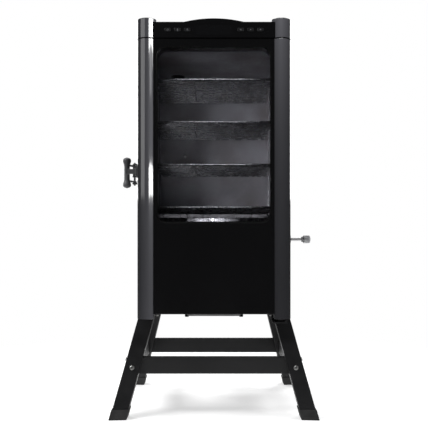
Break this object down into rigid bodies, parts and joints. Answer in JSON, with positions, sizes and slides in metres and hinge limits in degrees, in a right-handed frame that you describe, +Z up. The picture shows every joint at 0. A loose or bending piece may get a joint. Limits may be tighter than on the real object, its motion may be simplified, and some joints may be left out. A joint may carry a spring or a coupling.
{
  "type": "electric cabinet smoker",
  "caption": "Tall insulated electric smoking cabinet with a windowed hinged door, wire racks, side chip loader, side latch and a splayed tubular stand.",
  "frame": {"origin": "on the floor under the middle of the stand, at the bottom centre of the bounding box", "axes": "+Z up, -Y towards the front with the door, +X to the viewer's right"},
  "size_m": [0.5946, 0.5308, 1.138],
  "materials": {
    "stand_paint": "satin black powder coat",
    "foot_plastic": "matt black",
    "fastener": "zinc plated",
    "shell_paint": "fine textured black powder coat",
    "frame_paint": "satin black enamel",
    "glass_wool": "mineral wool",
    "liner_steel": "stainless liner",
    "bright_steel": "stainless sheet",
    "tray_steel": "pressed steel",
    "element_sheath": "heat-stained sheath",
    "gland_rubber": "matt black",
    "head_plastic": "gloss black",
    "display_glass": "dark window",
    "circuit": "printed board",
    "button_plastic": "satin dark grey",
    "door_enamel": "gloss black enamel",
    "column_metal": "gloss grey-black metal",
    "cap_plastic": "black",
    "trim_black": "gloss black",
    "smoked_glass": "smoked tempered glass",
    "seal_rubber": "heat-proof seal",
    "latch_black": "satin black",
    "rack_chrome": "chromed wire",
    "loader_black": "black",
    "knob_grey": "light grey"
  },
  "bodies": {
    "cabinet": {"leg_front_left": "stand_paint", "leg_front_right": "stand_paint", "leg_rear_left": "stand_paint", "leg_rear_right": "stand_paint", "foot_caps": "foot_plastic", "stand_bar_front": "stand_paint", "stand_bar_rear": "stand_paint", "stand_bars_side": "stand_paint", "stand_bolts": "fastener", "outer_shell": "shell_paint", "back_panel": "shell_paint", "bottom_panel": "shell_paint", "insulation": "glass_wool", "inner_liner": "liner_steel", "face_frame": "frame_paint", "rack_rails": "bright_steel", "bowl_shelf": "bright_steel", "vent_collar": "frame_paint", "rear_cover": "shell_paint", "cable_gland": "gland_rubber", "heating_element": "element_sheath", "temp_probe": "bright_steel", "chip_housing": "liner_steel", "grease_rails": "shell_paint", "hinge_bracket": "shell_paint", "hinge_pins": "fastener", "latch_base": "bright_steel", "control_head": "head_plastic", "display_lens": "display_glass", "circuit_board": "circuit", "loader_flange": "loader_black"},
    "door": {"door_skin": "door_enamel", "door_column_left": "column_metal", "door_column_right": "column_metal", "column_caps": "cap_plastic", "window_trim": "trim_black", "outer_glass": "smoked_glass", "inner_glass": "smoked_glass", "door_liner": "liner_steel", "door_insulation": "glass_wool", "door_seal": "seal_rubber", "latch_keeper": "bright_steel"},
    "latch": {"latch_lever": "latch_black"},
    "damper": {"damper_plate": "frame_paint"},
    "loader_slider": {"loader_cap": "loader_black"},
    "loader": {"loader_scoop": "bright_steel", "loader_knob": "knob_grey"},
    "bowl": {"water_bowl": "bright_steel"},
    "drip_pan": {"drip_tray": "tray_steel"},
    "grease_pan": {"grease_tray": "tray_steel"},
    "rack_1_body": {"rack_1": "rack_chrome"},
    "rack_2_body": {"rack_2": "rack_chrome"},
    "rack_3_body": {"rack_3": "rack_chrome"},
    "rack_4_body": {"rack_4": "rack_chrome"},
    "key_power": {"button_power": "button_plastic"},
    "key_temp": {"button_temp": "button_plastic"},
    "key_time": {"button_time": "button_plastic"},
    "key_light": {"button_light": "button_plastic"},
    "key_up": {"button_up": "button_plastic"},
    "key_down": {"button_down": "button_plastic"}
  },
  "joints": [
    {"name": "door_swing", "type": "hinge", "parent": "cabinet", "child": "door", "pos_m": [0.192, -0.219, 0.68], "axis": [0, 0, 1], "range_deg": [0, 130]},
    {"name": "latch_turn", "type": "hinge", "parent": "cabinet", "child": "latch", "pos_m": [-0.236, -0.153, 0.704], "axis": [0, 0, -1], "range_deg": [0, 100]},
    {"name": "damper_turn", "type": "hinge", "parent": "cabinet", "child": "damper", "pos_m": [-0.084, 0.105, 1.12], "axis": [0, 0, 1], "range_deg": [0, 90]},
    {"name": "loader_slide", "type": "slide", "parent": "cabinet", "child": "loader_slider", "axis": [1, 0, 0], "range_m": [0, 0.15]},
    {"name": "loader_turn", "type": "hinge", "parent": "loader_slider", "child": "loader", "pos_m": [0.15, -0.1, 0.511], "axis": [1, 0, 0], "range_deg": [0, 180]},
    {"name": "bowl_lift", "type": "slide", "parent": "cabinet", "child": "bowl", "axis": [0, 0, 1], "range_m": [0, 0.012]},
    {"name": "drip_tray_slide", "type": "slide", "parent": "cabinet", "child": "drip_pan", "axis": [0, -1, 0], "range_m": [0, 0.014]},
    {"name": "grease_tray_slide", "type": "slide", "parent": "cabinet", "child": "grease_pan", "axis": [0, 1, 0], "range_m": [0, 0.15]},
    {"name": "rack_1_slide", "type": "slide", "parent": "cabinet", "child": "rack_1_body", "axis": [0, -1, 0], "range_m": [0, 0.014]},
    {"name": "rack_2_slide", "type": "slide", "parent": "cabinet", "child": "rack_2_body", "axis": [0, -1, 0], "range_m": [0, 0.014]},
    {"name": "rack_3_slide", "type": "slide", "parent": "cabinet", "child": "rack_3_body", "axis": [0, -1, 0], "range_m": [0, 0.014]},
    {"name": "rack_4_slide", "type": "slide", "parent": "cabinet", "child": "rack_4_body", "axis": [0, -1, 0], "range_m": [0, 0.014]},
    {"name": "press_power", "type": "slide", "parent": "cabinet", "child": "key_power", "axis": [0, 1, 0], "range_m": [0, 0.0012], "stiffness_N_per_m": 300, "springref_m": -0.0008},
    {"name": "press_temp", "type": "slide", "parent": "cabinet", "child": "key_temp", "axis": [0, 1, 0], "range_m": [0, 0.0012], "stiffness_N_per_m": 300, "springref_m": -0.0008},
    {"name": "press_time", "type": "slide", "parent": "cabinet", "child": "key_time", "axis": [0, 1, 0], "range_m": [0, 0.0012], "stiffness_N_per_m": 300, "springref_m": -0.0008},
    {"name": "press_light", "type": "slide", "parent": "cabinet", "child": "key_light", "axis": [0, 1, 0], "range_m": [0, 0.0012], "stiffness_N_per_m": 300, "springref_m": -0.0008},
    {"name": "press_up", "type": "slide", "parent": "cabinet", "child": "key_up", "axis": [0, 1, 0], "range_m": [0, 0.0012], "stiffness_N_per_m": 300, "springref_m": -0.0008},
    {"name": "press_down", "type": "slide", "parent": "cabinet", "child": "key_down", "axis": [0, 1, 0], "range_m": [0, 0.0012], "stiffness_N_per_m": 300, "springref_m": -0.0008}
  ]
}
